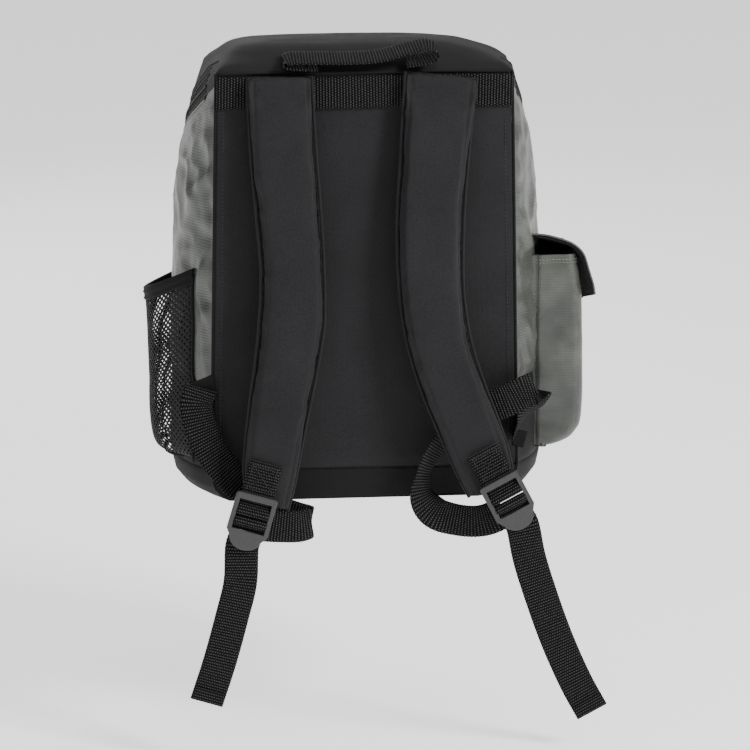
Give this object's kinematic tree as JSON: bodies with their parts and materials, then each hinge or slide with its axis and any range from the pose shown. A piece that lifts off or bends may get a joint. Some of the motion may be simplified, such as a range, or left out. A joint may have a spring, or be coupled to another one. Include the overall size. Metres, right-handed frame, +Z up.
{
  "type": "tackle backpack",
  "caption": "Soft fishing backpack seen as worn: padded back, hood lid with a sloping zip, curved shoulder straps with ladder locks, mesh bottle pocket and flap pocket.",
  "frame": {"origin": "middle of the back panel's outer face, where the bag lies on the wearer's back", "axes": "+Z up along the wearer's back, +Y away from the wearer towards the bag's front, +X to the wearer's right"},
  "size_m": [0.4099, 0.2554, 0.6135],
  "materials": {
    "charcoal_fabric": "matt woven polyester, charcoal",
    "black_fabric": "matt woven polyester, black",
    "green_ripstop": "coated ripstop with a soft sheen, grey green",
    "webbing": "ribbed woven strap, black",
    "net": "open knitted net, black",
    "zip_tape": "herringbone tape with a nylon coil, black",
    "hook_and_loop": "brushed loop pile, black",
    "zip_pull": "folded narrow tape, black",
    "foam": "closed cell foam, grey",
    "stiff_board": "pressed plastic sheet, dark grey",
    "moulded_plastic": "fine moulded texture, dark grey",
    "zip_metal": "black lacquered zinc"
  },
  "bodies": {
    "root": {"back_panel": "charcoal_fabric", "back_foam": "foam", "frame_sheet": "stiff_board", "back_lining": "black_fabric", "yoke_webbing": "webbing", "top_rear_strip": "black_fabric", "main_zip_lower": "zip_tape", "side_panel_left": "green_ripstop", "side_panel_right": "green_ripstop", "lower_band_left": "black_fabric", "lower_band_right": "black_fabric", "front_panel": "green_ripstop", "base_panel": "black_fabric", "base_board": "stiff_board", "front_pocket_wall": "green_ripstop", "front_zip_fixed": "zip_tape", "mesh_pocket": "net", "mesh_pocket_binding": "black_fabric", "side_pocket": "green_ripstop", "side_pocket_fastener": "hook_and_loop", "anchor_wing_left": "black_fabric", "anchor_wing_right": "black_fabric", "lower_webbing_left": "webbing", "lower_webbing_right": "webbing"},
    "lid": {"lid_panel": "black_fabric", "main_zip_upper": "zip_tape"},
    "main_slider_left": {"main_zip_slider_left": "zip_metal"},
    "main_pull_left": {"main_zip_pull_left": "zip_pull"},
    "main_slider_right": {"main_zip_slider_right": "zip_metal"},
    "main_pull_right": {"main_zip_pull_right": "zip_pull"},
    "front_door": {"front_pocket_door": "green_ripstop", "front_zip_door": "zip_tape"},
    "front_slider": {"front_zip_slider": "zip_metal"},
    "front_pull": {"front_zip_pull": "zip_pull"},
    "pocket_flap": {"side_flap": "green_ripstop", "side_flap_lining": "black_fabric", "side_flap_fastener": "hook_and_loop"},
    "handle": {"grab_handle": "webbing"},
    "strap_left": {"shoulder_pad_left": "charcoal_fabric", "pad_lining_left": "net", "strap_patch_left": "webbing"},
    "lock_left": {"ladder_lock_left": "moulded_plastic", "gripped_webbing_left": "webbing"},
    "tail_left": {"strap_tail_left": "webbing"},
    "strap_right": {"shoulder_pad_right": "charcoal_fabric", "pad_lining_right": "net", "strap_patch_right": "webbing"},
    "lock_right": {"ladder_lock_right": "moulded_plastic", "gripped_webbing_right": "webbing"},
    "tail_right": {"strap_tail_right": "webbing"}
  },
  "joints": [
    {"name": "lid_hinge", "type": "hinge", "parent": "root", "child": "lid", "pos_m": [0, 0.028, 0.2005], "axis": [1, 0, 0], "range_deg": [0, 90]},
    {"name": "main_slider_left_slide", "type": "slide", "parent": "lid", "child": "main_slider_left", "axis": [-1, 0, 0], "range_m": [0, 0.07]},
    {"name": "main_pull_left_swing", "type": "hinge", "parent": "main_slider_left", "child": "main_pull_left", "pos_m": [-0.005, 0.17113, 0.10144], "axis": [1, 0, 0], "range_deg": [0, 150]},
    {"name": "main_slider_right_slide", "type": "slide", "parent": "lid", "child": "main_slider_right", "axis": [1, 0, 0], "range_m": [0, 0.07]},
    {"name": "main_pull_right_swing", "type": "hinge", "parent": "main_slider_right", "child": "main_pull_right", "pos_m": [0.005, 0.17113, 0.10144], "axis": [1, 0, 0], "range_deg": [0, 150]},
    {"name": "front_door_hinge", "type": "hinge", "parent": "root", "child": "front_door", "pos_m": [0, 0.18015, -0.154], "axis": [-1, 0, 0], "range_deg": [0, 85]},
    {"name": "front_slider_slide", "type": "slide", "parent": "front_door", "child": "front_slider", "axis": [1, 0, 0], "range_m": [-0.05, 0.05]},
    {"name": "front_pull_swing", "type": "hinge", "parent": "front_slider", "child": "front_pull", "pos_m": [0, 0.19, 0.0473], "axis": [1, 0, 0], "range_deg": [0, 90]},
    {"name": "flap_hinge", "type": "hinge", "parent": "root", "child": "pocket_flap", "pos_m": [0.1666, 0.08, 0.0299], "axis": [0, -1, 0], "range_deg": [0, 95]},
    {"name": "handle_lift", "type": "slide", "parent": "root", "child": "handle", "axis": [0, 0, 1], "range_m": [0, 0.015], "deforming": ["grab_handle"]},
    {"name": "strap_left_swing", "type": "hinge", "parent": "root", "child": "strap_left", "pos_m": [-0.075, -0.004, 0.185], "axis": [-1, 0, 0], "range_deg": [0, 25], "deforming": ["lower_webbing_left"]},
    {"name": "lock_left_tilt", "type": "hinge", "parent": "strap_left", "child": "lock_left", "pos_m": [-0.10448, -0.052, -0.19803], "axis": [-0.9578, 0, 0.2874], "range_deg": [0, 14], "deforming": ["strap_patch_left"]},
    {"name": "tail_left_swing", "type": "hinge", "parent": "lock_left", "child": "tail_left", "pos_m": [-0.11135, -0.0482, -0.22092], "axis": [-0.9578, 0, 0.2874], "range_deg": [-28, 3]},
    {"name": "strap_right_swing", "type": "hinge", "parent": "root", "child": "strap_right", "pos_m": [0.0663, -0.004, 0.186], "axis": [-1, 0, 0], "range_deg": [0, 25], "deforming": ["lower_webbing_right"]},
    {"name": "lock_right_tilt", "type": "hinge", "parent": "strap_right", "child": "lock_right", "pos_m": [0.12112, -0.052, -0.18733], "axis": [-0.8838, 0, -0.4679], "range_deg": [0, 14], "deforming": ["strap_patch_right"]},
    {"name": "tail_right_swing", "type": "hinge", "parent": "lock_right", "child": "tail_right", "pos_m": [0.1323, -0.0482, -0.20845], "axis": [-0.8838, 0, -0.4679], "range_deg": [-28, 3]}
  ]
}
